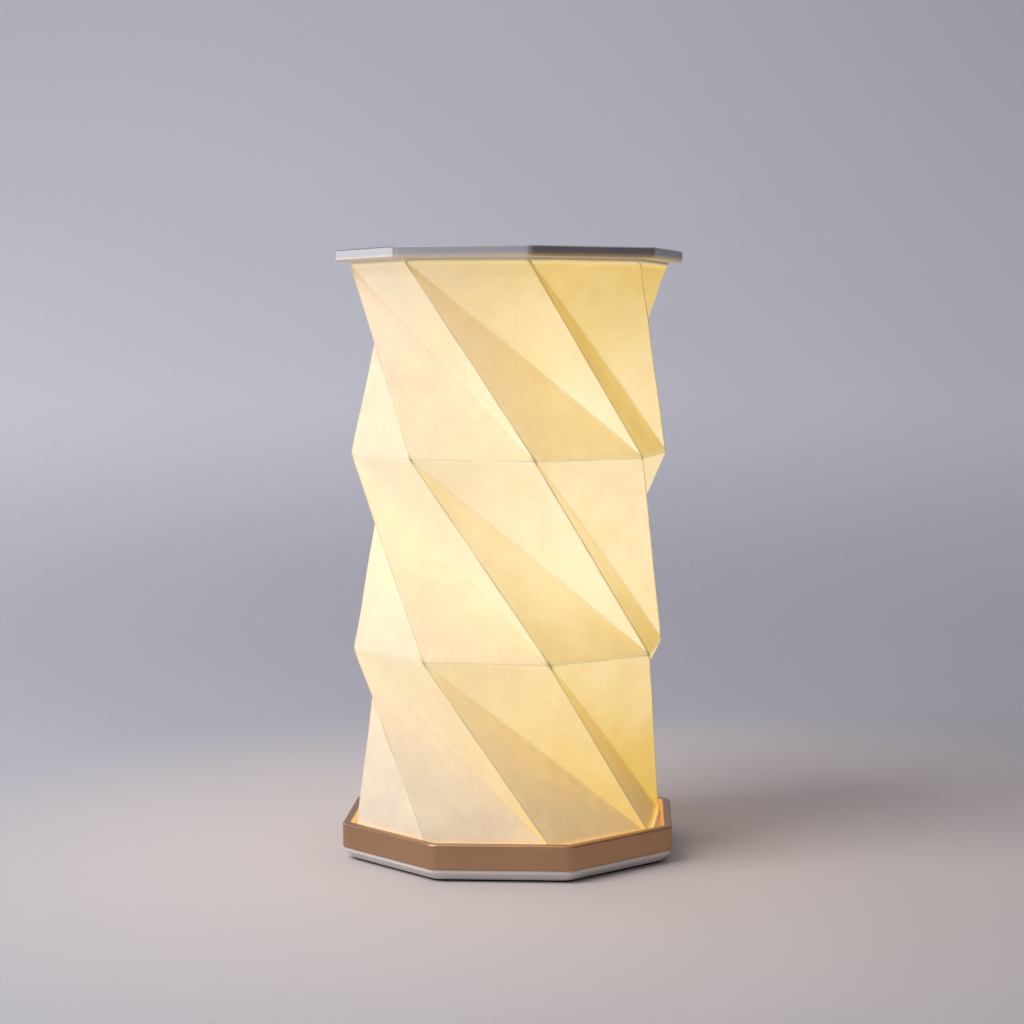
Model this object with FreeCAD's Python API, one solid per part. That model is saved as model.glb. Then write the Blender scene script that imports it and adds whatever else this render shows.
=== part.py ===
import FreeCAD, Part
import math
import os

from FreeCAD import Vector

# A cordless folding lamp: an octagonal base, a twist-folded paper shade of three storeys and a flat lid.
# When the lid is pressed down it turns, and the shade folds flat into the well of the base.
# Z is up, the origin is on the table under the middle of the lamp, and the front faces -Y.
# Angles round the lamp are in degrees from the front, positive towards +X. Lengths are millimetres.

# ---------------------------------------------------------------- base
base_angle = 22.5             # first corner of the base, so that a flat side faces the front
ring_across_flats = 133.0
ring_height = 10.0
ring_wall = 3.8
ring_corner_radius = 6.0
ring_edge_round = 0.8
ring_edge_break = 0.4         # small chamfers on the rim's inner edge and the ring's foot
ledge_width = 6.7             # ledge inside the ring wall, which carries the well floor
ledge_height = 3.8

pan_height = 4.2
pan_inset = 0.5               # how far the pan's side stands behind the ring's side
pan_chamfer_width = 3.2
pan_chamfer_height = 3.1
pan_floor_thickness = 1.4
pan_lip_height = 1.2
pan_lip_wall = 1.2
pan_lip_clearance = 0.2

foot_thickness = 1.2
foot_recess = 0.4
foot_width = 8.0
foot_inset = 0.9

floor_thickness = 1.0
floor_clearance = 0.3
floor_tape_thickness = 0.2
floor_tape_inset = 0.6

# ---------------------------------------------------------------- shade
shade_clearance = 2.4         # between the shade and the wall of the well
storey_heights = (73.7, 78.8, 76.6)      # from the foot of the shade to its head
storey_twists = (46.8, 50.1, 47.1)       # how far each storey turns its upper octagon back
shade_foot_angle = 18.3
paper_thickness = 0.4
flange_width = 5.4
frame_thickness = 0.9
frame_width = 6.3
glue_gap = 0.2

# ---------------------------------------------------------------- lid
lid_inset = 0.5               # how far the lid's side stands behind the ring's side
lid_thickness = 4.4
lid_corner_radius = 4.5
lid_edge_break = 0.4
lid_skin = 1.8
lid_rim_width = 14.0
liner_thickness = 0.8
liner_clearance = 0.3
lid_boss_radius = 3.0
lid_boss_height = 0.8
lid_boss_reach = 44.0
closure_disc_radius = 18.0
closure_disc_thickness = 0.8

# ---------------------------------------------------------------- light unit
light_board_across_flats = 36.0
light_board_thickness = 1.0
led_count = 12
led_circle_radius = 13.6
led_length = 3.5
led_width = 2.8
led_height = 0.8
diffuser_across_flats = 41.0
diffuser_corner_radius = 3.0
diffuser_height = 4.6
diffuser_wall = 1.2
diffuser_chamfer = 1.0
magnet_radius = 5.0
magnet_height = 2.2

# ---------------------------------------------------------------- control board and inlet
port_wall = 2.5               # thickness of the ring's wall behind the inlet and the button
board_side_margin = 8.0       # board beyond the middle of the inlet and of the button
board_depth = 27.0
board_thickness = 1.0
board_rise = 2.1              # height of the board above the pan's floor
board_edge_gap = 0.5
board_screw_inset = 3.2
board_post_radius = 1.9
usb_offset = -10.0
usb_width = 8.94
usb_height = 3.2
usb_length = 7.3
usb_shell_wall = 0.3
usb_back_from_face = 0.3
usb_gap = 0.3
tongue_width = 6.6
tongue_thickness = 0.7
tongue_length = 4.9

# ---------------------------------------------------------------- button and switch
button_offset = 12.0
button_width = 8.0
button_height = 2.4
button_proud = 0.4
button_edge_break = 0.25
button_gap = 0.1
button_travel = 0.6
button_flange_margin = 1.0
button_flange_vertical_margin = 0.4
button_flange_thickness = 1.6
plunger_width = 1.8
plunger_height = 1.4
plunger_length = 2.6
plunger_gap = 0.05
switch_width = 6.2
switch_depth = 3.6
switch_height = 3.2

# ---------------------------------------------------------------- battery, tabs and ribbon
battery_width = 60.0
battery_depth = 48.0
battery_thickness = 5.0
battery_corner = 2.0
battery_gap = 1.0             # from the slot for the light's ribbon to the battery
pad_thickness = 0.3
pad_inset = 3.0
tab_width = 4.0
tab_thickness = 0.3
tab_pitch = 9.0
tab_overlap = 3.0             # how far each tab lies on the control board
tabs_offset = 9.0
ribbon_width = 6.0
ribbon_thickness = 0.4
ribbon_bend = 2.0             # radius of the ribbon's bend on its hollow side
ribbon_slot_gap = 0.5
ribbon_from_board_edge = 1.4  # how far inside the light board's edge the ribbon comes up
ribbon_socket_width = 8.0
ribbon_socket_depth = 3.6
ribbon_socket_height = 1.4
ribbon_offset = -9.0

# ---------------------------------------------------------------- screws
screw_slot_width = 0.7
screw_slot_depth = 0.6
thread_gap = 0.05
base_screw_radius = 1.25
base_screw_length = 4.5
base_head_radius = 2.2
base_head_height = 1.3
small_screw_radius = 0.8
small_head_radius = 1.5
small_head_height = 0.6
small_screw_length = 2.2
head_gap = 0.15

# ---------------------------------------------------------------- heights and widths worked out
HALF_SIDE_ANGLE = 22.5
pan_bottom = foot_thickness - foot_recess
seam = pan_bottom + pan_height
pan_floor_top = pan_bottom + pan_floor_thickness
ring_top = seam + ring_height
ledge_top = seam + ledge_height
well_floor_bottom = ledge_top + floor_tape_thickness
well_floor_top = well_floor_bottom + floor_thickness
shade_foot = well_floor_top + frame_thickness

level_heights = [shade_foot]
level_angles = [shade_foot_angle]
for storey_height, storey_twist in zip(storey_heights, storey_twists):
    level_heights.append(level_heights[-1] + storey_height)
    level_angles.append(level_angles[-1] - storey_twist)
shade_head = level_heights[-1]
lid_angle = level_angles[-1]
upper_frame_bottom = shade_head + glue_gap
lid_bottom = upper_frame_bottom + frame_thickness
lid_top = lid_bottom + lid_thickness
lid_hollow_top = lid_top - lid_skin
liner_top = lid_hollow_top - lid_boss_height
liner_bottom = liner_top - liner_thickness
closure_disc_top = liner_bottom - glue_gap

pan_across_flats = ring_across_flats - 2 * pan_inset
pan_foot_across_flats = pan_across_flats - 2 * pan_chamfer_width
well_across_flats = ring_across_flats - 2 * ring_wall
shade_across_flats = well_across_flats - 2 * shade_clearance
lid_across_flats = ring_across_flats - 2 * lid_inset
cavity_across_flats = well_across_flats - 2 * ledge_width
lip_across_flats = cavity_across_flats - 2 * pan_lip_clearance
pan_hollow_across_flats = lip_across_flats - 2 * pan_lip_wall
foot_across_flats = pan_foot_across_flats - 2 * foot_inset
well_corner_radius = max(ring_corner_radius - ring_wall, 1.0)
lid_hollow_across_flats = lid_across_flats - 2 * lid_rim_width

back_face = ring_across_flats / 2
port_face = back_face - port_wall
board_back = port_face - board_edge_gap
board_front = board_back - board_depth
board_middle = (usb_offset + button_offset) / 2
board_width = button_offset - usb_offset + 2 * board_side_margin
board_bottom = pan_floor_top + board_rise
board_top = board_bottom + board_thickness
port_height = board_top + usb_height / 2
ribbon_outer_side = abs(ribbon_offset) + ribbon_width / 2
ribbon_rise_y = light_board_across_flats * math.sqrt(0.5) - ribbon_outer_side - ribbon_from_board_edge
battery_back = ribbon_rise_y - ribbon_thickness - ribbon_slot_gap - battery_gap
battery_bottom = pan_floor_top + pad_thickness
light_board_top = well_floor_top + light_board_thickness


def at(reach, angle, height):
    """The point at a distance and an angle round the lamp's axis, at a height."""
    turn = math.radians(angle)
    return Vector(reach * math.sin(turn), -reach * math.cos(turn), height)


def corner_reach(across_flats):
    """Distance from the axis to a corner of an octagon of a size across its flats."""
    return across_flats / 2 / math.cos(math.radians(HALF_SIDE_ANGLE))


def octagon_corners(across_flats, height, angle):
    """The eight corners of a level octagon, the first one at an angle."""
    reach = corner_reach(across_flats)
    return [at(reach, angle + 45 * k, height) for k in range(8)]


def octagon_wire(across_flats, height, angle, corner_radius=0.0):
    """Outline of a level octagon whose corners are arcs tangent to both sides."""
    corners = octagon_corners(across_flats, height, angle)
    if corner_radius <= 0:
        return Part.makePolygon(corners + corners[:1])
    half_turn = math.radians(HALF_SIDE_ANGLE)
    setback = corner_radius * math.tan(half_turn)
    arc_reach = corner_reach(across_flats) - corner_radius * (1 / math.cos(half_turn) - 1)
    starts, ends, edges = [], [], []
    for k, corner in enumerate(corners):
        starts.append(corner + (corners[k - 1] - corner).normalize() * setback)
        ends.append(corner + (corners[(k + 1) % 8] - corner).normalize() * setback)
    for k in range(8):
        edges.append(Part.Arc(starts[k], at(arc_reach, angle + 45 * k, height), ends[k]).toShape())
        edges.append(Part.LineSegment(ends[k], starts[(k + 1) % 8]).toShape())
    return Part.Wire(edges)


def octagon_prism(across_flats, bottom, top, angle, corner_radius=0.0):
    """Upright octagonal prism between two heights."""
    face = Part.Face(octagon_wire(across_flats, bottom, angle, corner_radius))
    return face.extrude(Vector(0, 0, top - bottom))


def octagon_band(across_flats, width, bottom, top, angle, corner_radius=0.0):
    """Octagonal frame: a prism with a parallel octagon cut out of it, leaving sides of one width."""
    inner_radius = max(corner_radius - width, 0.0)
    outer = octagon_prism(across_flats, bottom, top, angle, corner_radius)
    return outer.cut(octagon_prism(across_flats - 2 * width, bottom, top, angle, inner_radius))


def cylinder(radius, bottom, top, x=0.0, y=0.0):
    """Upright cylinder between two heights."""
    return Part.makeCylinder(radius, top - bottom, Vector(x, y, bottom))


def block(x_low, x_high, y_low, y_high, z_low, z_high):
    """Box between two corners."""
    return Part.makeBox(x_high - x_low, y_high - y_low, z_high - z_low, Vector(x_low, y_low, z_low))


def pill(x, z, width, height, y_low, y_high):
    """Bar with round ends, lying on its side along X and as deep as y_low to y_high."""
    half = (width - height) / 2
    radius = height / 2
    signs = ((-1, -1), (1, -1), (1, 1), (-1, 1))
    corners = [Vector(x + sx * half, y_low, z + sz * radius) for sx, sz in signs]
    edges = [Part.LineSegment(corners[0], corners[1]).toShape(),
             Part.Arc(corners[1], Vector(x + half + radius, y_low, z), corners[2]).toShape(),
             Part.LineSegment(corners[2], corners[3]).toShape(),
             Part.Arc(corners[3], Vector(x - half - radius, y_low, z), corners[0]).toShape()]
    return Part.Face(Part.Wire(edges)).extrude(Vector(0, y_high - y_low, 0))


def edges_at(shape, height):
    """The edges of a shape that lie level at a height."""
    return [edge for edge in shape.Edges
            if abs(edge.BoundBox.ZMin - height) < 1e-4 and abs(edge.BoundBox.ZMax - height) < 1e-4]


def screw(place, seat, upward, head_radius, head_height, shank_radius, shank_length):
    """Upright screw whose flat head bears on the height of its seat."""
    x, y = place.x, place.y
    sense = 1 if upward else -1
    shank = Part.makeCylinder(shank_radius, shank_length, Vector(x, y, seat), Vector(0, 0, sense))
    head = Part.makeCylinder(head_radius, head_height, Vector(x, y, seat), Vector(0, 0, -sense))
    return shank.fuse(head).removeSplitter()


# ---------------------------------------------------------------- places that several pieces share
base_screw_reach = (corner_reach(cavity_across_flats) + corner_reach(pan_foot_across_flats)) / 2
base_screw_places = [at(base_screw_reach, base_angle + 90 * k, 0) for k in range(4)]
base_screw_seat = pan_bottom + foot_recess + base_head_height + head_gap
lid_screw_places = [at(lid_boss_reach, lid_angle + 120 * k, 0) for k in range(3)]
board_screw_places = [Vector(board_middle + side * (board_width / 2 - board_screw_inset),
                             board_front + board_depth / 2, 0) for side in (-1, 1)]

def port_pocket(bottom, top):
    """Room behind the back wall for the control board, the inlet and the button."""
    half = board_width / 2 + board_edge_gap
    front = pan_hollow_across_flats / 4
    return block(board_middle - half, board_middle + half, front, port_face, bottom, top)


def ribbon_slot(bottom, top):
    """Slot that the ribbon to the light passes through."""
    half = ribbon_width / 2 + ribbon_slot_gap
    front = ribbon_rise_y - ribbon_thickness - ribbon_slot_gap
    back = ribbon_rise_y + ribbon_slot_gap
    return block(ribbon_offset - half, ribbon_offset + half, front, back, bottom, top)


# ---------------------------------------------------------------- base
def bottom_pan():
    """Dish with a chamfered foot, a lip that stands inside the ring, and four posts for the board."""
    chamfer_top = pan_bottom + pan_chamfer_height
    outlines = [octagon_wire(pan_foot_across_flats, pan_bottom, base_angle, ring_corner_radius),
                octagon_wire(pan_across_flats, chamfer_top, base_angle, ring_corner_radius)]
    body = Part.makeLoft(outlines, True, True)
    body = body.fuse(octagon_prism(pan_across_flats, chamfer_top, seam, base_angle, ring_corner_radius))
    body = body.fuse(octagon_prism(lip_across_flats, seam, seam + pan_lip_height, base_angle))
    body = body.cut(octagon_prism(pan_hollow_across_flats, pan_floor_top, seam + pan_lip_height, base_angle))
    body = body.cut(octagon_band(foot_across_flats + 2 * head_gap, foot_width + 2 * head_gap, pan_bottom,
                                 pan_bottom + foot_recess, base_angle, ring_corner_radius))
    body = body.cut(port_pocket(board_bottom - board_edge_gap, seam + pan_lip_height))
    for place in base_screw_places:
        body = body.cut(cylinder(base_head_radius + head_gap, pan_bottom, base_screw_seat, place.x, place.y))
        body = body.cut(cylinder(base_screw_radius + thread_gap, base_screw_seat, seam, place.x, place.y))
    for place in board_screw_places:
        post = cylinder(board_post_radius, pan_floor_top, board_bottom, place.x, place.y)
        hole = cylinder(small_screw_radius + thread_gap, pan_floor_top, board_bottom, place.x, place.y)
        body = body.fuse(post).cut(hole)
    return body.removeSplitter()


def foot_ring():
    """Flat rubber ring, half sunk in the underside of the pan."""
    return octagon_band(foot_across_flats, foot_width, 0, foot_thickness, base_angle, ring_corner_radius)


def base_ring():
    """Ring with a rim round the well, a ledge for the well floor, and the openings in its back wall."""
    body = octagon_prism(ring_across_flats, seam, ring_top, base_angle, ring_corner_radius)
    body = body.makeFillet(ring_edge_round, edges_at(body, ring_top))
    body = body.makeChamfer(ring_edge_break, edges_at(body, seam))
    break_bottom = ring_top - ring_edge_break
    body = body.cut(octagon_prism(well_across_flats, ledge_top, ring_top, base_angle, well_corner_radius))
    body = body.cut(Part.makeLoft([
        octagon_wire(well_across_flats, break_bottom, base_angle, well_corner_radius),
        octagon_wire(well_across_flats + 2 * ring_edge_break, ring_top, base_angle,
                     well_corner_radius + ring_edge_break)], True, True))
    body = body.cut(octagon_prism(cavity_across_flats, seam, ledge_top, base_angle))
    body = body.cut(port_pocket(seam, ledge_top))
    usb_half = usb_width / 2 + usb_gap
    usb_mouth = pill(usb_offset, port_height, 2 * usb_half, usb_height + 2 * usb_gap, port_face, back_face)
    body = body.cut(usb_mouth)
    body = body.cut(block(usb_offset - usb_half, usb_offset + usb_half, port_face, back_face,
                          seam, port_height))
    body = body.cut(pill(button_offset, port_height, button_width + 2 * button_gap,
                         button_height + 2 * button_gap, port_face, back_face))
    for place in base_screw_places:
        depth = base_screw_seat + base_screw_length + head_gap
        body = body.cut(cylinder(base_screw_radius + thread_gap, seam, depth, place.x, place.y))
    return body


def base_screws():
    """Screws from below, through the pan into the ring, each with a slot across its head."""
    screws = []
    for place in base_screw_places:
        body = screw(place, base_screw_seat, True, base_head_radius, base_head_height, base_screw_radius,
                     base_screw_length)
        face = base_screw_seat - base_head_height
        slot = block(place.x - base_head_radius, place.x + base_head_radius, place.y - screw_slot_width / 2,
                     place.y + screw_slot_width / 2, face, face + screw_slot_depth)
        screws.append(body.cut(slot))
    return Part.makeCompound(screws)


def floor_tape():
    """Adhesive band on the ring's ledge, under the edge of the well floor."""
    band_width = ledge_width - 2 * floor_tape_inset
    band = octagon_band(well_across_flats - 2 * floor_tape_inset, band_width, ledge_top, well_floor_bottom,
                        base_angle)
    return band.cut(port_pocket(ledge_top, well_floor_bottom))


def well_floor():
    """Plate stuck to the ring's ledge, with a slot for the ribbon to the light."""
    body = octagon_prism(well_across_flats - 2 * floor_clearance, well_floor_bottom, well_floor_top,
                         base_angle, well_corner_radius)
    return body.cut(ribbon_slot(well_floor_bottom, well_floor_top))


# ---------------------------------------------------------------- shade
def folded_tube(across_flats, heights):
    """Closed solid of the twist-folded octagonal tube. Between two levels each of the eight panels is two
    triangles. The outward crease joins corner k of the lower level to corner k of the upper one, and the
    inward crease joins corner k + 1 of the lower level to corner k of the upper one."""
    levels = [octagon_corners(across_flats, height, angle) for height, angle in zip(heights, level_angles)]
    outlines = [levels[0], levels[-1]]
    for low, high in zip(levels, levels[1:]):
        for k in range(8):
            after = (k + 1) % 8
            outlines.append([high[k], low[k], low[after]])
            outlines.append([high[k], low[after], high[after]])
    faces = [Part.Face(Part.makePolygon(outline + outline[:1])) for outline in outlines]
    solid = Part.makeSolid(Part.makeShell(faces))
    if solid.Volume < 0:
        solid.reverse()
    return solid


def paper_shade():
    """The folded sheet: three storeys of eight panels, with a flange turned inwards at each end."""
    inner_heights = list(level_heights)
    inner_heights[0] += paper_thickness
    inner_heights[-1] -= paper_thickness
    body = folded_tube(shade_across_flats, level_heights)
    body = body.cut(folded_tube(shade_across_flats - 2 * paper_thickness, inner_heights))
    opening = shade_across_flats - 2 * flange_width
    body = body.cut(octagon_prism(opening, shade_foot, shade_foot + paper_thickness, shade_foot_angle))
    return body.cut(octagon_prism(opening, shade_head - paper_thickness, shade_head, lid_angle))


def lower_shade_frame():
    """Frame on the well floor that the shade's lower flange is glued on."""
    return octagon_band(shade_across_flats, frame_width, well_floor_top, shade_foot, shade_foot_angle)


def upper_shade_frame():
    """Frame under the lid that the shade's upper flange is glued to."""
    return octagon_band(shade_across_flats, frame_width, upper_frame_bottom, lid_bottom, lid_angle)


# ---------------------------------------------------------------- lid
def lid_plate():
    """Flat octagonal lid, hollowed from below, with four bosses for the liner's screws."""
    body = octagon_prism(lid_across_flats, lid_bottom, lid_top, lid_angle, lid_corner_radius)
    body = body.makeChamfer(lid_edge_break, edges_at(body, lid_top) + edges_at(body, lid_bottom))
    body = body.cut(octagon_prism(lid_hollow_across_flats, lid_bottom, lid_hollow_top, lid_angle))
    for place in lid_screw_places:
        body = body.fuse(cylinder(lid_boss_radius, liner_top, lid_hollow_top, place.x, place.y))
        body = body.cut(cylinder(small_screw_radius + thread_gap, liner_top,
                                 liner_bottom + small_screw_length + head_gap, place.x, place.y))
    return body


def lid_liner():
    """White plate in the lid's hollow, held on the bosses."""
    body = octagon_prism(lid_hollow_across_flats - 2 * liner_clearance, liner_bottom, liner_top, lid_angle)
    for place in lid_screw_places:
        body = body.cut(cylinder(small_screw_radius + thread_gap, liner_bottom, liner_top, place.x, place.y))
    return body


def lid_screws():
    """Screws from below, through the liner into the lid's bosses."""
    return Part.makeCompound([screw(place, liner_bottom, True, small_head_radius, small_head_height,
                                    small_screw_radius, small_screw_length) for place in lid_screw_places])


def closure_disc():
    """Steel disc glued under the liner, which the magnet holds when the lamp is folded."""
    return cylinder(closure_disc_radius, closure_disc_top - closure_disc_thickness, closure_disc_top)


# ---------------------------------------------------------------- light unit
def led_board():
    """Octagonal board stuck to the middle of the well floor."""
    return octagon_prism(light_board_across_flats, well_floor_top, light_board_top, base_angle)


def leds():
    """Light-emitting diodes in a circle on the board."""
    packages = []
    for k in range(led_count):
        package = block(-led_length / 2, led_length / 2, led_circle_radius - led_width / 2,
                        led_circle_radius + led_width / 2, light_board_top, light_board_top + led_height)
        package.rotate(Vector(0, 0, 0), Vector(0, 0, 1), 360 * k / led_count)
        packages.append(package)
    return Part.makeCompound(packages)


def light_diffuser():
    """Opal octagonal cap over the light board, its upper edge broken."""
    top = well_floor_top + diffuser_height
    outer = octagon_prism(diffuser_across_flats, well_floor_top, top, base_angle, diffuser_corner_radius)
    outer = outer.makeChamfer(diffuser_chamfer, edges_at(outer, top))
    return outer.cut(octagon_prism(diffuser_across_flats - 2 * diffuser_wall, well_floor_top,
                                   top - diffuser_wall, base_angle, diffuser_corner_radius - diffuser_wall))


def closure_magnet():
    """Disc magnet in the middle of the light board."""
    return cylinder(magnet_radius, light_board_top, light_board_top + magnet_height)


# ---------------------------------------------------------------- control board and inlet
def control_board():
    """Board on the pan's posts."""
    body = block(board_middle - board_width / 2, board_middle + board_width / 2, board_front, board_back,
                 board_bottom, board_top)
    for place in board_screw_places:
        body = body.cut(cylinder(small_screw_radius + thread_gap, board_bottom, board_top, place.x, place.y))
    return body


def board_screws():
    """Screws that hold the control board to its posts."""
    length = board_thickness + board_rise
    return Part.makeCompound([screw(place, board_top, False, small_head_radius, small_head_height,
                                    small_screw_radius, length) for place in board_screw_places])


def board_parts():
    """Chips, coil and capacitor in a row along the middle of the control board."""
    sizes = ((5.0, 5.0, 0.9), (4.2, 4.2, 2.0), (3.0, 3.0, 0.9), (2.0, 1.3, 1.2))
    middle_y = board_front + board_depth / 2
    row_start = board_middle - board_width / 2 + 2 * board_screw_inset
    spacing = (board_width - 4 * board_screw_inset) / len(sizes)
    parts = []
    for k, (width, depth, height) in enumerate(sizes):
        x = row_start + spacing * (k + 0.5)
        parts.append(block(x - width / 2, x + width / 2, middle_y - depth / 2, middle_y + depth / 2,
                           board_top, board_top + height))
    return Part.makeCompound(parts)


def usb_shell():
    """Metal shell of the charging inlet, closed at its inner end."""
    mouth = back_face - usb_back_from_face
    inner_end = mouth - usb_length
    outer = pill(usb_offset, port_height, usb_width, usb_height, inner_end, mouth)
    return outer.cut(pill(usb_offset, port_height, usb_width - 2 * usb_shell_wall,
                          usb_height - 2 * usb_shell_wall, inner_end + usb_shell_wall, mouth))


def usb_tongue():
    """Contact tongue of the inlet on its block."""
    root = back_face - usb_back_from_face - usb_length + usb_shell_wall
    holder = pill(usb_offset, port_height, usb_width - 2 * usb_shell_wall, usb_height - 2 * usb_shell_wall,
                  root, root + usb_length - usb_shell_wall - tongue_length - 0.8)
    tongue = block(usb_offset - tongue_width / 2, usb_offset + tongue_width / 2, root,
                   root + usb_length - usb_shell_wall - 0.8, port_height - tongue_thickness / 2,
                   port_height + tongue_thickness / 2)
    return holder.fuse(tongue).removeSplitter()


# ---------------------------------------------------------------- button and switch
button_flange_back = port_face - button_gap
button_flange_front = button_flange_back - button_flange_thickness
switch_back = button_flange_front - button_travel - button_gap


def power_button():
    """Pill-shaped button in the back wall, with a flange behind the wall that keeps it in."""
    stem = pill(button_offset, port_height, button_width, button_height, button_flange_back,
                back_face + button_proud)
    flange = pill(button_offset, port_height, button_width + 2 * button_flange_margin,
                  button_height + 2 * button_flange_vertical_margin, button_flange_front, button_flange_back)
    stem = stem.makeChamfer(button_edge_break, [edge for edge in stem.Edges
                                                if edge.BoundBox.YMin > back_face + button_proud - 1e-4])
    return stem.fuse(flange).removeSplitter()


def plunger_bar(margin, y_low, y_high):
    """Bar with the section of the switch's plunger, wider by a margin all round."""
    half_width = plunger_width / 2 + margin
    half_height = plunger_height / 2 + margin
    return block(button_offset - half_width, button_offset + half_width, y_low, y_high,
                 port_height - half_height, port_height + half_height)


def switch_plunger():
    """Plunger of the switch, which the button pushes."""
    return plunger_bar(0, button_flange_front - plunger_length, button_flange_front)


def switch_housing():
    """Side switch on the board, hollowed for its plunger."""
    body = block(button_offset - switch_width / 2, button_offset + switch_width / 2,
                 switch_back - switch_depth, switch_back, board_top, board_top + switch_height)
    end = button_flange_front - plunger_length - button_travel - button_gap
    return body.cut(plunger_bar(plunger_gap, end, switch_back))


# ---------------------------------------------------------------- battery, tabs and ribbon
def battery():
    """Flat cell with rounded corners and a broken upper edge."""
    body = block(-battery_width / 2, battery_width / 2, battery_back - battery_depth, battery_back,
                 battery_bottom, battery_bottom + battery_thickness)
    upright = [edge for edge in body.Edges if edge.BoundBox.ZLength > battery_thickness / 2]
    body = body.makeFillet(battery_corner, upright)
    return body.makeChamfer(battery_thickness / 6, edges_at(body, battery_bottom + battery_thickness))


def battery_pad():
    """Foam strip that the battery is stuck to the pan with."""
    return block(-battery_width / 2 + pad_inset, battery_width / 2 - pad_inset,
                 battery_back - battery_depth + pad_inset, battery_back - pad_inset,
                 pan_floor_top, battery_bottom)


def battery_tabs():
    """Two flat metal tabs from the battery's back edge onto the control board."""
    tabs = []
    for side in (-1, 1):
        x = tabs_offset + side * tab_pitch / 2
        tabs.append(block(x - tab_width / 2, x + tab_width / 2, battery_back, board_front + tab_overlap,
                          board_top, board_top + tab_thickness))
    return Part.makeCompound(tabs)


def ribbon_socket():
    """Socket on the front edge of the control board that the light's ribbon is plugged into."""
    half = ribbon_socket_width / 2
    return block(ribbon_offset - half, ribbon_offset + half, board_front, board_front + ribbon_socket_depth,
                 board_top, board_top + ribbon_socket_height)


def light_ribbon():
    """Flat ribbon from its socket, level under the well floor and then up through its slot to the light."""
    low = board_top + ribbon_socket_height / 2 - ribbon_thickness / 2
    outer_radius = ribbon_bend + ribbon_thickness
    front = ribbon_rise_y - ribbon_thickness
    bend_y = front + outer_radius
    bend_z = low + outer_radius

    def point(y, z):
        return Vector(ribbon_offset - ribbon_width / 2, y, z)

    def bend(radius):
        """Quarter circle round the bend's centre, from straight below it to straight in front of it."""
        slant = radius * math.sqrt(0.5)
        return Part.Arc(point(bend_y, bend_z - radius), point(bend_y - slant, bend_z - slant),
                        point(bend_y - radius, bend_z))

    edges = [
        Part.LineSegment(point(board_front, low), point(bend_y, low)),
        bend(outer_radius),
        Part.LineSegment(point(front, bend_z), point(front, well_floor_top)),
        Part.LineSegment(point(front, well_floor_top), point(ribbon_rise_y, well_floor_top)),
        Part.LineSegment(point(ribbon_rise_y, well_floor_top), point(ribbon_rise_y, bend_z)),
        bend(ribbon_bend),
        Part.LineSegment(point(bend_y, bend_z - ribbon_bend), point(board_front, bend_z - ribbon_bend)),
        Part.LineSegment(point(board_front, bend_z - ribbon_bend), point(board_front, low)),
    ]
    face = Part.Face(Part.Wire([edge.toShape() for edge in edges]))
    return face.extrude(Vector(ribbon_width, 0, 0))


pieces = {
    "bottom_pan": bottom_pan,
    "foot_ring": foot_ring,
    "base_ring": base_ring,
    "base_screws": base_screws,
    "well_floor": well_floor,
    "floor_tape": floor_tape,
    "lower_shade_frame": lower_shade_frame,
    "paper_shade": paper_shade,
    "upper_shade_frame": upper_shade_frame,
    "lid_plate": lid_plate,
    "lid_liner": lid_liner,
    "lid_screws": lid_screws,
    "closure_disc": closure_disc,
    "led_board": led_board,
    "leds": leds,
    "light_diffuser": light_diffuser,
    "closure_magnet": closure_magnet,
    "control_board": control_board,
    "board_screws": board_screws,
    "board_parts": board_parts,
    "usb_shell": usb_shell,
    "usb_tongue": usb_tongue,
    "power_button": power_button,
    "switch_plunger": switch_plunger,
    "switch_housing": switch_housing,
    "battery": battery,
    "battery_pad": battery_pad,
    "battery_tabs": battery_tabs,
    "ribbon_socket": ribbon_socket,
    "light_ribbon": light_ribbon,
}

os.makedirs("parts", exist_ok=True)
for name, make in pieces.items():
    shape = make()
    shape.exportStep(os.path.join("parts", name + ".step"))
    print(name, len(shape.Solids), "solids", "valid" if shape.isValid() else "NOT VALID",
          round(shape.Volume, 2))
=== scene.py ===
"""The looks of a folding paper lamp: its finishes, the folded paper sheet, the studio and the camera."""
import math

import bpy
import numpy as np
from mathutils import Euler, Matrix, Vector


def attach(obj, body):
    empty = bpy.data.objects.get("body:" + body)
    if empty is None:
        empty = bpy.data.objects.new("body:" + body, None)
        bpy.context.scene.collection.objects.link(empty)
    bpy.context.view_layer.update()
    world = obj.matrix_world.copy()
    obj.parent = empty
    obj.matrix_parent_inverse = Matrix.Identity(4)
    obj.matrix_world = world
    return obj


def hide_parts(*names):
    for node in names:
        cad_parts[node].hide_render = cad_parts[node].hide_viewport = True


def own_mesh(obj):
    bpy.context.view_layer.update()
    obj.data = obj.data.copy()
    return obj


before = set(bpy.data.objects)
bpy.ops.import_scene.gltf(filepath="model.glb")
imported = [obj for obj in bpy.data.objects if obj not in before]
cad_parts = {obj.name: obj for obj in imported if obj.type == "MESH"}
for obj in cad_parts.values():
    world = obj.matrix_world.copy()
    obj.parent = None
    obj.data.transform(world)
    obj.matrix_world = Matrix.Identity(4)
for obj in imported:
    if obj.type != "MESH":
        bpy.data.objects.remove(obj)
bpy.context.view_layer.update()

# ---------------------------------------------------------------- sizes, in metres
MM = 0.001
SIDES = 8

# camera, solved from the corners of the lid, the creases and the ring in the photograph
CAMERA_PLACE = (0.0484, -0.9500, 0.2134)
CAMERA_HEADING = 2.87                # degrees that the view turns to the left
CAMERA_PITCH = 4.47                  # degrees that the view dips
CAMERA_LENS = 81.74                  # mm

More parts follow.
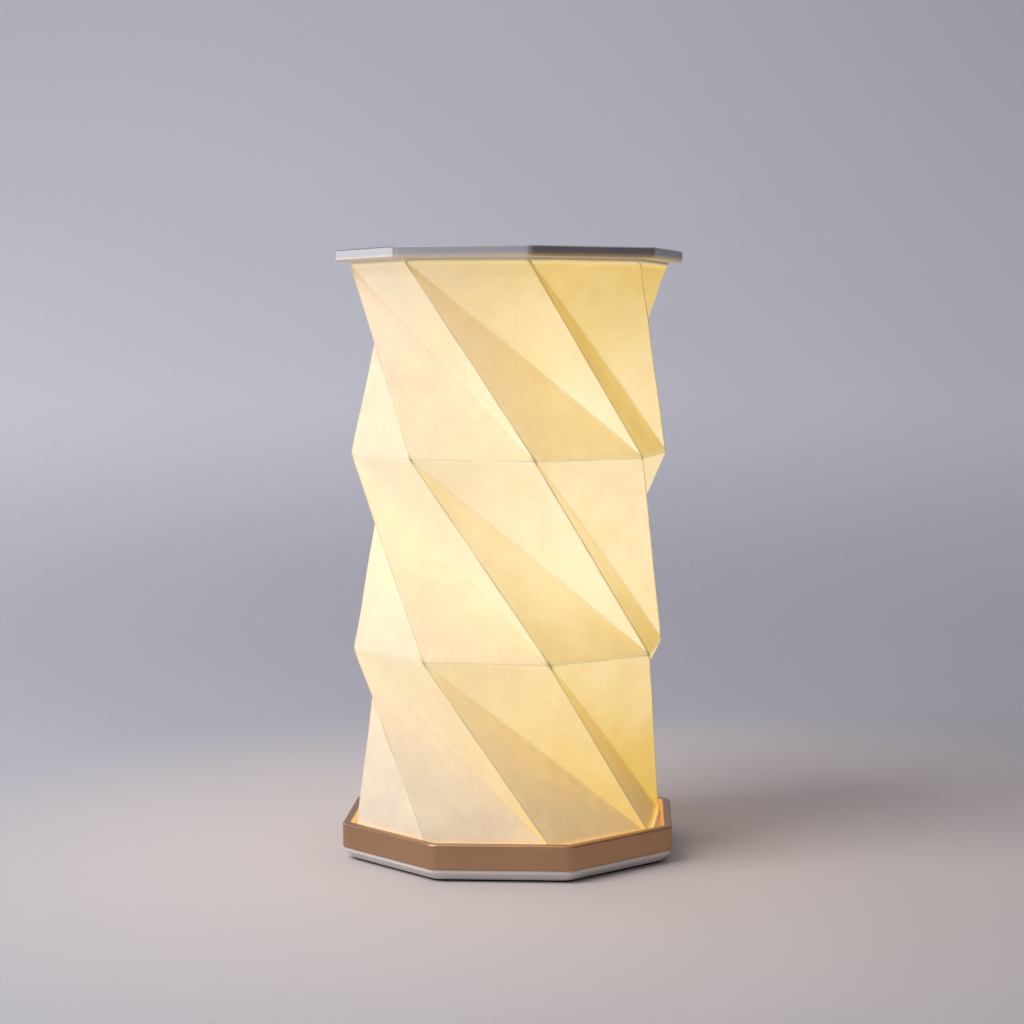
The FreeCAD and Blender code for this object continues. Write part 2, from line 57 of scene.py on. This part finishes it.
# the paper shade: corners of the octagons at its four levels, joined by straight creases
SHADE_REACH = 65.27 * MM             # from the axis to a corner
LEVEL_HEIGHTS = np.array([10.9, 84.6, 163.4, 240.0]) * MM
LEVEL_ANGLES = np.array([18.3, -28.5, -78.6, -125.7])    # degrees of the first corner, from the front to +X
PAPER_THICKNESS = 0.3 * MM
FLANGE_REACH = 59.4 * MM             # corners of the opening in the flanges
PANEL_GRID = 36                      # grid steps across and up one panel
PANEL_WIDTH = 46.3                   # mm square to the outward creases, from one to the next
VALLEY_HEIGHT = 35.6                 # mm from the inward crease to the corner across it
STOREY_SLOPE = 86.0                  # mm up the paper from one level to the next

# the metal on which the lamp's own light is painted as a warm sheen
RING_INNER_REACH = 63.4 * MM         # just outside the flats of the ring's inner wall
LID_UNDERSIDE = 241.1 * MM
LIP_HEIGHT = 2.2 * MM                # how far the warm sheen climbs up the lid's edge
NO_LIGHT = (0.0, 0.0, 0.0)

# the studio
FLOOR_RADIUS = 0.36                  # of the flat part of the floor
BOWL_RADIUS = 2.2                    # of the curve from the floor up into the wall
SENSOR_WIDTH = 36.0                  # mm


# ---------------------------------------------------------------- meshes
def new_piece(name, points, faces):
    """A smooth mesh object with its place in its mesh."""
    mesh = bpy.data.meshes.new(name)
    mesh.from_pydata(np.asarray(points, float).tolist(), [], [list(map(int, face)) for face in faces])
    mesh.polygons.foreach_set("use_smooth", np.full(len(mesh.polygons), True))
    mesh.update()
    piece = bpy.data.objects.new(name, mesh)
    bpy.context.scene.collection.objects.link(piece)
    return piece


def quad_grid(rows, columns):
    """Quads between neighbours of a grid whose columns close into a ring."""
    row, column = np.meshgrid(np.arange(rows - 1), np.arange(columns), indexing="ij")
    here = row * columns + column
    right = row * columns + (column + 1) % columns
    return np.stack([here, right, right + columns, here + columns], axis=-1).reshape(-1, 4)


def slanted_grid(rows, columns):
    """The same grid as triangles, split from the upper left to the lower right of each quad."""
    quads = quad_grid(rows, columns)
    return np.concatenate([quads[:, [0, 1, 3]], quads[:, [1, 2, 3]]])


def corner_normals(points, faces):
    """Normals at the points: the sum of the normals of the triangles round each."""
    a, b, c = (points[faces[:, i]] for i in range(3))
    across = np.cross(b - a, c - a)
    normals = np.zeros_like(points)
    for i in range(3):
        np.add.at(normals, faces[:, i], across)
    return normals / np.linalg.norm(normals, axis=1, keepdims=True)


def set_attribute(piece, name, values):
    """One number per point, for the finish to read."""
    attribute = piece.data.attributes.new(name, "FLOAT", "POINT")
    attribute.data.foreach_set("value", np.asarray(values, np.float32).ravel())


def round_point(reach, angle, height):
    """Points at a reach and an angle in degrees round the axis, counted from the front towards +X."""
    turn = np.radians(angle)
    return np.stack([reach * np.sin(turn), -reach * np.cos(turn), height + 0 * turn], axis=-1)


# ---------------------------------------------------------------- shader arithmetic
class Signal:
    """A shader socket. Arithmetic on it adds Math nodes to its finish."""

    def __init__(self, finish, socket):
        self.finish = finish
        self.socket = socket

    def math(self, operation, first, second):
        return self.finish.node("ShaderNodeMath", {"operation": operation}, first, second)

    def __add__(self, other):
        return self.math("ADD", self, other)

    def __sub__(self, other):
        return self.math("SUBTRACT", self, other)

    def __rsub__(self, other):
        return self.math("SUBTRACT", other, self)

    def __mul__(self, other):
        return self.math("MULTIPLY", self, other)

    __radd__ = __add__
    __rmul__ = __mul__

    def between(self, low, high):
        """0 at low, 1 at high and a smooth step from one to the other."""
        settings = {"interpolation_type": "SMOOTHSTEP"}
        return self.finish.node("ShaderNodeMapRange", settings, self, low, high)

    def largest(self, other):
        """The larger of the sizes of two signals, without their signs."""
        sizes = [self.finish.node("ShaderNodeMath", {"operation": "ABSOLUTE"}, part) for part in (self, other)]
        return self.math("MAXIMUM", *sizes)

    def line(self, width):
        """1 where the signal is 0, falling to 0 at a width."""
        return 1 - self.between(0.0, width)


class Finish:
    """A material with one Principled shader, whose constant values are given by name."""

    def __init__(self, name, **constants):
        self.material = bpy.data.materials.new(name)
        self.material.use_nodes = True
        self.tree = self.material.node_tree
        self.shader = self.tree.nodes["Principled BSDF"]
        self.set(**constants)
        self.place = self.node("ShaderNodeTexCoord", {}, output="Object")

    def put(self, value, socket):
        """A number, a colour or a signal goes into a socket."""
        if isinstance(value, Signal):
            self.tree.links.new(value.socket, socket)
        elif socket.type == "RGBA":
            socket.default_value = (*value, 1.0)
        else:
            socket.default_value = value

    def set(self, **values):
        """Sockets of the shader by name."""
        for socket, value in values.items():
            self.put(value, self.shader.inputs[socket.replace("_", " ")])

    def node(self, kind, settings, *values, output=0, **named):
        """A node with its settings, then the values or signals of its sockets in order or by name."""
        node = self.tree.nodes.new(kind)
        for key, value in settings.items():
            setattr(node, key, value)
        for socket, value in zip(node.inputs, values):
            self.put(value, socket)
        for key, value in named.items():
            self.put(value, node.inputs[key])
        return Signal(self, node.outputs[output])

    def split(self, vector):
        """The three parts of a vector."""
        node = self.tree.nodes.new("ShaderNodeSeparateXYZ")
        self.put(vector, node.inputs[0])
        return [Signal(self, output) for output in node.outputs]

    def attribute(self, name):
        """A number that is stored on the piece's points."""
        return self.node("ShaderNodeAttribute", {"attribute_name": name}, output="Fac")

    def stretched(self, x, y, z):
        """Object coordinates multiplied along each axis."""
        return self.node("ShaderNodeVectorMath", {"operation": "MULTIPLY"}, self.place, (x, y, z))

    def noise(self, scale, detail=3.0, roughness=0.5, place=None):
        """Soft random signal about 0.5."""
        return self.node("ShaderNodeTexNoise", {}, output=0, Vector=place or self.place, Scale=scale,
                         Detail=detail, Roughness=roughness)

    def mix(self, factor, first, second):
        """Colour that goes from the first to the second."""
        node = self.tree.nodes.new("ShaderNodeMix")
        node.data_type = "RGBA"
        for index, value in ((0, factor), (6, first), (7, second)):
            self.put(value, node.inputs[index])
        return Signal(self, node.outputs[2])

    def ramp(self, factor, *stops):
        """Colour that passes through the stops, each a position and a colour."""
        node = self.tree.nodes.new("ShaderNodeValToRGB")
        elements = node.color_ramp.elements
        while len(elements) > 1:
            elements.remove(elements[-1])
        for index, (position, colour) in enumerate(stops):
            stop = elements.new(position) if index else elements[0]
            stop.position = position
            stop.color = (*colour, 1.0)
        self.put(factor, node.inputs[0])
        return Signal(self, node.outputs[0])

    def octagon_reach(self):
        """Distance from the axis across the flats of the base's octagon: the largest of the distances
        along the normals of its sides."""
        x, y, _ = self.split(self.place)
        reach = x.largest(y)
        for slant in ((x + y) * math.sqrt(0.5), (x - y) * math.sqrt(0.5)):
            reach = reach.largest(slant)
        return reach

    def bump(self, height, strength, distance):
        """The height signal tilts the surface."""
        self.set(Normal=self.node("ShaderNodeBump", {}, Height=height, Strength=strength, Distance=distance))


# ---------------------------------------------------------------- finishes
def grained_metal(name, colour, shade_colour, roughness, grain_strength, painted_glow_within=0.0, painted_glow_above=0.0):
    """Satin metal with a fine level grain: streaks that are long round the part and short in height. Faces
    that lie nearer the axis than painted_glow_within get a painted warm colour and glow, and faces just above
    the height painted_glow_above a painted warm glow: painted light of the lamp on the metal."""
    finish = Finish(name, Metallic=1.0)
    grain = finish.noise(9.0, 5.0, 0.65, finish.stretched(1.0, 1.0, 260.0))
    cloud = finish.noise(22.0)
    tone = (grain * 0.6 + cloud * 0.4).between(0.3, 0.72)
    base = finish.mix(tone, shade_colour, colour)
    if painted_glow_within:
        # painted light: the ring's inner wall gets a warm colour and glow of the lamp's light
        inside = 1 - finish.octagon_reach().between(painted_glow_within - 0.3 * MM, painted_glow_within + 0.3 * MM)
        base = finish.mix(inside, base, (0.95, 0.62, 0.28))
        finish.set(Emission_Color=finish.mix(inside, NO_LIGHT, (0.23, 0.118, 0.034)), Emission_Strength=1.0)
    if painted_glow_above:
        # painted light: a warm glow of the lamp's light on the lid's lower edge
        painted_lip_glow = 1 - finish.split(finish.place)[2].between(painted_glow_above, painted_glow_above + LIP_HEIGHT)
        finish.set(Emission_Color=finish.mix(painted_lip_glow, NO_LIGHT, (0.22, 0.13, 0.015)), Emission_Strength=1.0)
    finish.set(Base_Color=base, Roughness=grain * 0.12 + cloud * 0.08 + (roughness - 0.1))
    finish.bump(grain, grain_strength, 0.00012)
    return finish.material


def fine_surface(name, colour, roughness, metallic=0.0, scale=1800.0, contrast=0.9, bump=0.15):
    """Paint, plastic, rubber or plate: a fine speckle over a slight drift of tone."""
    finish = Finish(name, Metallic=metallic)
    speckle = finish.noise(scale, 3.0, 0.6)
    drift = finish.noise(24.0)
    tone = (speckle * 0.5 + drift * 0.5).between(0.35, 0.65)
    finish.set(Base_Color=finish.mix(tone, tuple(contrast * part for part in colour), colour),
               Roughness=speckle * 0.12 + (roughness - 0.06))
    finish.bump(speckle, bump, 0.0001)
    return finish.material


def paper_finish():
    """Translucent fibrous paper, its light from inside painted on as emission. The painted glow stored on its
    points sets how bright and how yellow it is, the painted_window_light share stored there how much painted
    cream of the window light is mixed in, and its creases are drawn as painted shade from the distances to
    them, in millimetres, stored there too."""
    finish = Finish("shade_paper", Roughness=0.8, Emission_Strength=2.0)
    mottle = finish.noise(110.0, 5.0, 0.62)
    cloud = finish.noise(30.0)
    fibres = finish.noise(700.0, 4.0, 0.75, finish.stretched(1.0, 1.0, 0.4))
    texture = mottle * 0.45 + cloud * 0.4 + fibres * 0.3
    blotch = finish.noise(48.0, 3.0, 0.6).between(0.48, 0.72)
    # the painted shade along the creases fades in random patches
    crease_shade_fade = finish.noise(60.0, 3.0, 0.6).between(0.3, 0.65) * 0.55 + 0.45
    mountain = finish.attribute("mountain")
    level = finish.attribute("level")
    # painted shade in the dents where the creases meet
    corner = mountain.line(2.2) * level.line(3.2)
    valley = finish.attribute("valley").line(0.5)
    # painted shade along the creases, stronger away from the window light, towards +X
    away_from_key = finish.split(finish.place)[0] * (0.4 / SHADE_REACH) + 0.95
    creases = (mountain.line(0.75) + valley * 0.35 + level.line(0.7) * 0.5 + corner * 0.6) * crease_shade_fade * away_from_key
    glow = finish.attribute("glow") * (texture * 0.36 + 0.593)
    colour = finish.ramp(glow, (0.0, NO_LIGHT), (0.28, (0.235, 0.13, 0.006)), (0.43, (0.31, 0.20, 0.022)),
                         (0.56, (0.37, 0.268, 0.096)), (0.7, (0.405, 0.325, 0.175)), (0.8, (0.44, 0.37, 0.21)),
                         (1.0, (1.0, 0.70, 0.32)))
    # painted cream of the window light, mixed in on the side that it falls on
    colour = finish.mix(finish.attribute("painted_window_light") * 0.5, colour, (0.28, 0.255, 0.19))
    colour = finish.mix(blotch * 0.2, colour, (0.36, 0.26, 0.05))
    plain = finish.mix(texture.between(0.4, 0.75), (0.45, 0.425, 0.39), (0.51, 0.485, 0.45))
    finish.set(Emission_Color=finish.mix(creases * 0.85, colour, (0.13, 0.115, 0.04)),
               Base_Color=finish.mix(creases * 0.8, plain, (0.16, 0.14, 0.09)))
    finish.bump(fibres * 0.4 + mottle * 0.6 - creases * 0.5, 0.2, 0.0004)
    return finish.material


def circuit_board(name, colour, track_colour):
    """Solder mask with faint tracks under it."""
    finish = Finish(name)
    tracks = finish.node("ShaderNodeTexBrick", {"offset": 0.5}, output="Fac", Vector=finish.place, Scale=420.0)
    dust = finish.noise(900.0, 2.0)
    finish.set(Base_Color=finish.mix(tracks * 0.7 + dust * 0.2, colour, track_colour),
               Roughness=dust * 0.15 + 0.3)
    return finish.material


def glowing(name, colour, dim_colour, strength):
    """Opal or phosphor, lit from behind, a little dimmer in patches."""
    finish = Finish(name, Roughness=0.4, Emission_Strength=strength)
    haze = finish.noise(80.0)
    finish.set(Base_Color=finish.mix(haze, (0.82, 0.80, 0.74), (0.92, 0.90, 0.85)),
               Emission_Color=finish.mix(haze, dim_colour, colour))
    return finish.material


# ---------------------------------------------------------------- the paper shade
def panel_steps():
    """Steps from 0 to 1 that crowd towards both ends."""
    step = np.linspace(0.0, 1.0, PANEL_GRID + 1)
    return step - 0.55 * np.sin(2 * math.pi * step) / (2 * math.pi)


def storey_grid(lower, upper):
    """One storey between two levels as a grid of points. In each panel, across runs from 0 to 1 along the
    level edges and up from the lower level to the upper one. The point is the lower corner plus across and up
    along the lower triangle; beyond the valley crease, where across + up is over 1, the excess times the
    panel's fold is added, which gives the upper triangle. Returns points, across and up."""
    steps = panel_steps()
    across, up = np.meshgrid(steps[:-1], steps)
    points = []
    for panel in range(SIDES):
        turns = 45.0 * (panel + np.arange(2))
        low = round_point(SHADE_REACH, LEVEL_ANGLES[lower] + turns, LEVEL_HEIGHTS[lower])
        high = round_point(SHADE_REACH, LEVEL_ANGLES[upper] + turns, LEVEL_HEIGHTS[upper])
        excess = np.maximum(across + up - 1, 0)
        points.append(low[0] + across[..., None] * (low[1] - low[0]) + up[..., None] * (high[0] - low[0])
                      + excess[..., None] * (high[1] + low[0] - high[0] - low[1]))
    return np.concatenate(points, axis=1), np.tile(across, SIDES), np.tile(up, SIDES)


def flange_rows(level, rows):
    """Level rows at one end of the sheet, from the opening of the flange to just short of the outer edge."""
    across = np.tile(panel_steps()[:-1], SIDES)
    first = LEVEL_ANGLES[level] + 45.0 * np.repeat(np.arange(SIDES), PANEL_GRID)
    height = LEVEL_HEIGHTS[level]
    edges = [round_point(reach, first, height) * (1 - across[:, None])
             + round_point(reach, first + 45.0, height) * across[:, None]
             for reach in np.linspace(FLANGE_REACH, SHADE_REACH, rows, endpoint=False)]
    return np.stack(edges)


def ripple(points, random):
    """Slight waves of the sheet, in metres along its normal: a sum of sines in random directions."""
    waves = np.zeros(len(points))
    for length in (11.0, 15.0, 19.0, 24.0, 31.0, 40.0):
        for _ in range(3):
            direction = random.normal(size=3)
            direction *= 2 * math.pi / (length * MM * np.linalg.norm(direction))
            waves += np.sin(points @ direction + random.uniform(0, 2 * math.pi)) * length
    return waves * 0.0011 * MM


def puckers(points, random):
    """Small dents where the creases meet, in metres along the normal. Round each corner of a level, a dent
    grows and fades with the distance and turns into ridges round the corner."""
    offsets = np.zeros(len(points))
    for level in range(len(LEVEL_HEIGHTS)):
        for side in range(SIDES):
            corner = round_point(SHADE_REACH, LEVEL_ANGLES[level] + 45.0 * side, LEVEL_HEIGHTS[level])
            away = points - corner
            distance = np.linalg.norm(away, axis=1)
            sideways = away @ np.cross(corner * (1, 1, 0), (0, 0, 1)) / SHADE_REACH
            ridges = np.sin(3 * np.arctan2(away[:, 2], sideways) + random.uniform(0, 2 * math.pi))
            reach = random.uniform(3.0, 5.0) * MM
            depth = random.uniform(0.2, 0.4) * MM
            offsets += depth * (distance / reach) * np.exp(-(distance / reach) ** 2) * ridges
    return offsets


def bowed(across, up, random):
    """How far each triangle bows, in metres: the product of its three barycentric shares times 27, and a
    random depth of its own."""
    over = across + up - 1
    panels = np.repeat(np.arange(SIDES), PANEL_GRID)
    depth_below, depth_above = random.uniform(-0.35, 0.3, (2, SIDES)) * MM
    below = np.maximum(-over, 0) * across * up * depth_below[panels]
    above = np.maximum(over, 0) * (1 - across) * (1 - up) * depth_above[panels]
    return 27 * (below + above)


def folded_sheet():
    """The folded sheet as one closed grid: its outer face from the foot flange to the head flange, and its
    inner face, offset by the thickness. The creases are eased by averaging each point with its neighbours.
    Returns the piece, the grid of its outer face before it is waved, and across and up on that grid."""
    random = np.random.default_rng(8)
    rows, acrosses, ups, bows = [], [], [], []
    for storey in range(3):
        place, across, up = storey_grid(storey, storey + 1)
        start = min(storey, 1)
        rows.append(place[start:])
        acrosses.append(across[start:])
        ups.append(up[start:])
        bows.append(bowed(across, up, random)[start:])
    columns = SIDES * PANEL_GRID
    grid = np.concatenate([flange_rows(0, 3), *rows, flange_rows(3, 3)[::-1]])
    for _ in range(2):
        sides = np.roll(grid, 1, axis=1) + np.roll(grid, -1, axis=1)
        grid[1:-1] = 0.5 * grid[1:-1] + 0.125 * (sides[1:-1] + grid[2:] + grid[:-2])
    ends = np.zeros((3, columns))
    across = np.concatenate([ends + acrosses[0][0], *acrosses, ends + acrosses[0][0]])
    up = np.concatenate([ends, *ups, ends + 1])
    bow = np.concatenate([ends, *bows, ends]).ravel()
    points = grid.reshape(-1, 3)
    faces = slanted_grid(len(grid), columns)
    low, high = LEVEL_HEIGHTS[0], LEVEL_HEIGHTS[3]
    free = np.clip(np.minimum(points[:, 2] - low, high - points[:, 2]) / (5 * MM), 0, 1)
    offsets = (ripple(points, random) + puckers(points, random) + bow) * free
    points = points + corner_normals(points, faces) * offsets[:, None]
    inner = points - corner_normals(points, faces) * PAPER_THICKNESS
    ring = np.arange(columns)
    after = (ring + 1) % columns
    last = len(points) - columns
    size = len(points)
    foot_rim = np.stack([size + ring, size + after, after, ring], axis=-1)
    head_rim = last + np.stack([ring, after, size + after, size + ring], axis=-1)
    rims = np.concatenate([foot_rim, head_rim])
    triangles = np.concatenate([faces, faces[:, ::-1] + size, rims[:, [0, 1, 2]], rims[:, [0, 2, 3]]])
    return new_piece("paper_shade_sheet", np.concatenate([points, inner]), triangles), grid, across, up


def store_light(piece, grid, across, up):
    """What the paper's finish reads, one number per point. The glow is painted light from inside: a bell curve
    over the height, in the upper triangles and, dimmer, in the lower ones as painted shade. It is weaker on
    the side that the window light falls on, where painted cream of that light is mixed in, and stronger
    right at the foot and the head. The distances to the outward creases, the inward creases and the levels
    are in millimetres."""
    over = across + up - 1
    low, high = LEVEL_HEIGHTS[0], LEVEL_HEIGHTS[3]
    rise = (grid[..., 2] - low) / (high - low)
    # painted glow from inside, and painted shade that dims the lower triangles
    upper = 0.89 * np.exp(-((rise - 0.565) / 0.64) ** 2)
    lower = upper * (0.60 + 0.17 * np.exp(-((rise - 0.47) / 0.25) ** 2))
    upper *= 1.03 - 0.09 * up
    lower *= 0.90 + 0.24 * up
    in_upper = np.clip(over * VALLEY_HEIGHT / 0.5 + 0.5, 0, 1)
    glow = lower + (upper - lower) * in_upper
    turn = np.arctan2(grid[..., 0], -grid[..., 1])
    towards_key = np.maximum(np.cos(turn + math.radians(70)), 0)
    glow *= 1 - 0.27 * towards_key
    glow += 0.6 * np.clip(1 - rise / 0.016, 0, 1) + 0.25 * np.clip(1 - (1 - rise) / 0.008, 0, 1)
    for name, values in (("glow", glow), ("painted_window_light", towards_key * (0.4 + 0.6 * in_upper)),
                         ("mountain", np.minimum(across, 1 - across) * PANEL_WIDTH),
                         ("valley", np.abs(over) * VALLEY_HEIGHT),
                         ("level", np.minimum(up, 1 - up) * STOREY_SLOPE)):
        set_attribute(piece, name, np.tile(values.ravel(), 2))


def paper_shade():
    """The folded sheet stands on the base in place of the plain one."""
    piece, grid, across, up = folded_sheet()
    store_light(piece, grid, across, up)
    piece.data.materials.append(paper_finish())
    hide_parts("paper_shade")
    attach(piece, "base")
    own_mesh(piece)


# ---------------------------------------------------------------- finishes of the other parts
def paint_nodes():
    """Every carried-over part gets the finish of its material slot."""
    finishes = {
        "pan_grey": fine_surface("pan_grey", (0.79, 0.755, 0.715), 0.42, scale=900.0),
        "foot_rubber": fine_surface("foot_rubber", (0.02, 0.02, 0.021), 0.75, contrast=0.6, bump=0.3),
        "bronze_metal": grained_metal("bronze_metal", (0.56, 0.335, 0.20), (0.46, 0.27, 0.155), 0.42, 0.12,
                                      painted_glow_within=RING_INNER_REACH),
        "screw_steel": fine_surface("screw_steel", (0.55, 0.55, 0.56), 0.3, metallic=1.0),
        # painted light: the white metal parts get a warm orange colour that stands in for the paper's warm light
        # on them
        "white_metal": fine_surface("white_metal", (0.86, 0.68, 0.42), 0.5),
        "frame_white": fine_surface("frame_white", (0.82, 0.81, 0.78), 0.5, contrast=0.95),
        "board_white": circuit_board("board_white", (0.82, 0.82, 0.80), (0.68, 0.69, 0.68)),
        "led_package": glowing("led_package", (1.0, 0.80, 0.42), (1.0, 0.72, 0.35), 3.0),
        "diffuser_opal": glowing("diffuser_opal", (1.0, 0.84, 0.58), (1.0, 0.78, 0.50), 2.0),
        "magnet_nickel": fine_surface("magnet_nickel", (0.62, 0.61, 0.59), 0.22, metallic=1.0),
        "board_green": circuit_board("board_green", (0.02, 0.13, 0.05), (0.05, 0.24, 0.10)),
        "chip_black": fine_surface("chip_black", (0.025, 0.025, 0.027), 0.45, contrast=0.7),
        "battery_foil": fine_surface("battery_foil", (0.62, 0.63, 0.65), 0.35, metallic=0.9, scale=300.0),
        "foam_grey": fine_surface("foam_grey", (0.12, 0.12, 0.125), 0.9, contrast=0.6, scale=700.0, bump=0.5),
        "ribbon_white": fine_surface("ribbon_white", (0.72, 0.72, 0.70), 0.4),
        "tape_clear": fine_surface("tape_clear", (0.50, 0.50, 0.48), 0.35, contrast=0.8),
        "lid_aluminium": grained_metal("lid_aluminium", (0.525, 0.51, 0.515), (0.435, 0.42, 0.425), 0.36, 0.1,
                                       painted_glow_above=LID_UNDERSIDE),
    }
    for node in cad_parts.values():
        slot = node.data.materials[0].name
        if slot in finishes:
            node.data.materials[0] = finishes[slot]


# ---------------------------------------------------------------- studio
def backdrop():
    """A bowl round the lamp: a flat floor that curves up into a wall, wide and open at the top. Its profile
    is a straight line, a quarter circle and a short upright, turned about the axis. The floor has a warm
    patch of painted lamp light round the lamp, and painted shade darkens everything towards the right."""
    turns = np.linspace(0, 2 * math.pi, 96, endpoint=False)
    bends = np.linspace(0, math.pi / 2, 30)
    reach = np.concatenate([[0.001, 0.12, 0.24], FLOOR_RADIUS + BOWL_RADIUS * np.sin(bends),
                            [FLOOR_RADIUS + BOWL_RADIUS]])
    height = np.concatenate([[0, 0, 0], BOWL_RADIUS * (1 - np.cos(bends)), [BOWL_RADIUS * 1.2]])
    points = np.stack([reach[:, None] * np.cos(turns), reach[:, None] * np.sin(turns),
                       np.repeat(height[:, None], len(turns), axis=1)], axis=-1).reshape(-1, 3)
    quads = quad_grid(len(reach), len(turns))[:, ::-1]
    first = np.arange(len(turns))
    middle = np.stack([first, (first + 1) % len(turns), np.full(len(turns), len(points))], axis=-1)
    bowl = new_piece("backdrop", np.concatenate([points, [[0, 0, 0]]]), quads.tolist() + middle.tolist())
    finish = Finish("backdrop_paper", Roughness=0.8)
    x, y, z = finish.split(finish.place)
    grain = (finish.noise(1.5) * 0.6 + finish.noise(260.0, 4.0) * 0.4).between(0.3, 0.7)
    wall = finish.mix(grain, (0.77, 0.785, 0.80), (0.80, 0.815, 0.83))
    floor = finish.mix(grain, (0.49, 0.49, 0.52), (0.52, 0.52, 0.55))
    # painted light: a warm patch of lamp light on the floor round the lamp, a little to the right
    from_light_patch = x - 0.06
    painted_light_patch = finish.mix((from_light_patch * from_light_patch + y * y).between(0.0, 0.14), (0.71, 0.65, 0.61), floor)
    bright = finish.mix(z.between(0.0, 0.16), painted_light_patch, wall)
    # painted shade: everything darkens towards the right
    finish.set(Base_Color=finish.mix((x - y * 0.3 + z * 0.3).between(-0.9, 1.9), bright, (0.20, 0.17, 0.155)))
    bowl.data.materials.append(finish.material)


def area_light(name, place, aim, size, power, colour):
    """A square soft light at a place, turned to aim at a point."""
    light = bpy.data.lights.new(name, "AREA")
    light.size = size
    light.energy = power
    light.color = colour
    holder = bpy.data.objects.new(name, light)
    holder.location = place
    holder.rotation_euler = (Vector(aim) - Vector(place)).to_track_quat("-Z", "Y").to_euler()
    holder.visible_camera = False
    bpy.context.scene.collection.objects.link(holder)


def studio():
    """A large soft light from the left, a card behind it on the left, and an even lavender sky."""
    area_light("key", (-0.76, -0.58, 1.2), (0, 0, 0.1), 0.8, 16.0, (0.97, 0.97, 1.0))
    area_light("card", (-1.25, 0.72, 0.35), (0, 0, 0.2), 0.7, 3.1, (1.0, 0.98, 1.0))
    world = bpy.data.worlds.new("sky")
    world.use_nodes = True
    sky = world.node_tree.nodes["Background"]
    sky.inputs["Color"].default_value = (0.80, 0.78, 0.92, 1.0)
    sky.inputs["Strength"].default_value = 0.70
    bpy.context.scene.world = world
    bpy.context.scene.view_settings.view_transform = "Standard"


def camera():
    """The camera where the photograph was taken from."""
    view = bpy.data.cameras.new("camera")
    view.lens = CAMERA_LENS
    view.sensor_width = SENSOR_WIDTH
    view.clip_start = 0.05
    view.clip_end = 20.0
    holder = bpy.data.objects.new("camera", view)
    holder.location = CAMERA_PLACE
    holder.rotation_euler = Euler((math.radians(90.0 - CAMERA_PITCH), 0.0, math.radians(CAMERA_HEADING)))
    bpy.context.scene.collection.objects.link(holder)
    bpy.context.scene.camera = holder


paint_nodes()
paper_shade()
backdrop()
studio()
camera()
